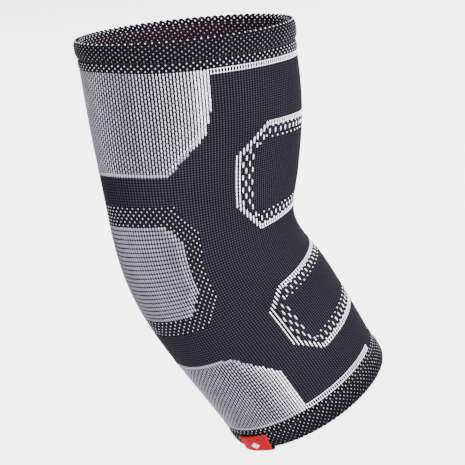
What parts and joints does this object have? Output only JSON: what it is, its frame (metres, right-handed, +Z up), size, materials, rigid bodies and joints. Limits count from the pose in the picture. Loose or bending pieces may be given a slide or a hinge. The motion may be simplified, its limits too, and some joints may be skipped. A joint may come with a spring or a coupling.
{
  "type": "elbow support sleeve",
  "caption": "Knitted elbow support sleeve with turned cuffs, light ribbed panels, a ridged elbow patch, outlined windows and a red hem label.",
  "frame": {"origin": "the elbow hinge axis where it crosses the centreline of the sleeve", "axes": "+Z up the upper arm, -Y towards the point of the elbow, +Y towards the crook, +X along the hinge axis"},
  "size_m": [0.093, 0.1464, 0.204],
  "materials": {
    "cuff_knit": "matte dotted knit",
    "lining_knit": "matte plain knit",
    "elastic_yarn": "covered elastic",
    "linking_thread": "matte",
    "white_yarn": "matte polyester yarn",
    "light_ribs": "matte ribbed knit",
    "light_ridges": "matte ridged knit",
    "navy_knit": "matte fine knit",
    "dotted_knit": "matte dotted knit",
    "red_tape": "woven tape",
    "label_thread": "sewing thread",
    "label_weave": "woven yarn"
  },
  "bodies": {
    "upper_arm": {"upper_cuff": "cuff_knit", "upper_cuff_lining": "lining_knit", "upper_cuff_elastic": "elastic_yarn", "upper_linking_seam": "linking_thread", "upper_dot_band": "cuff_knit", "upper_cuff_line": "white_yarn", "triceps_panel": "light_ribs", "biceps_window_outline": "white_yarn", "biceps_window_field": "navy_knit", "upper_arm_knit": "navy_knit", "elbow_patch": "light_ridges", "elbow_dot_border": "dotted_knit", "elbow_knit": "navy_knit"},
    "forearm": {"forearm_window_outline": "white_yarn", "forearm_window_field": "navy_knit", "forearm_panel": "light_ribs", "forearm_knit": "navy_knit", "lower_cuff_line": "white_yarn", "lower_dot_band": "cuff_knit", "lower_linking_seam": "linking_thread", "forearm_cuff": "cuff_knit", "forearm_cuff_elastic": "elastic_yarn", "forearm_cuff_lining": "lining_knit", "hem_label": "red_tape", "label_stitches": "label_thread", "label_emblem": "label_weave"}
  },
  "joints": [
    {"name": "elbow_flexion", "type": "hinge", "parent": "upper_arm", "child": "forearm", "pos_m": [0, 0, 0], "axis": [1, 0, 0], "range_deg": [-28, 60], "stiffness_Nm_per_rad": 0.6, "deforming": ["elbow_knit", "elbow_patch", "elbow_dot_border", "biceps_window_outline", "biceps_window_field", "forearm_window_outline", "forearm_window_field"]}
  ]
}
